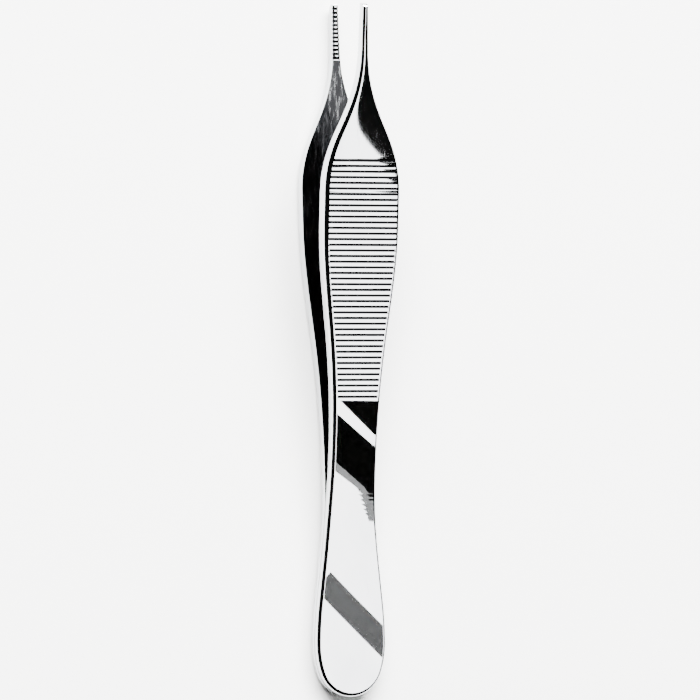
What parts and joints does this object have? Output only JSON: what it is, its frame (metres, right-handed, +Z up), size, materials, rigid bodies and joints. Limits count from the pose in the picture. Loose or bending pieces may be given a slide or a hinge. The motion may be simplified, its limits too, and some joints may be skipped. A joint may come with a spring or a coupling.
{
  "type": "thumb forceps",
  "caption": "Slim steel thumb forceps with a flat rounded heel, bowed spring arms, cross-grooved grips and narrow serrated tips for holding dressings and tissue.",
  "frame": {"origin": "middle of the footprint, on the surface that the forceps lies on", "axes": "+Y along the length from the heel towards the tips, +Z up, the way the arms open, X across the width"},
  "size_m": [0.0152, 0.1202, 0.0127],
  "materials": {
    "stainless_steel": "polished stainless steel with fine lengthwise grinding marks"
  },
  "bodies": {
    "root": {"top_arm": "stainless_steel", "bottom_arm": "stainless_steel"}
  },
  "joints": []
}
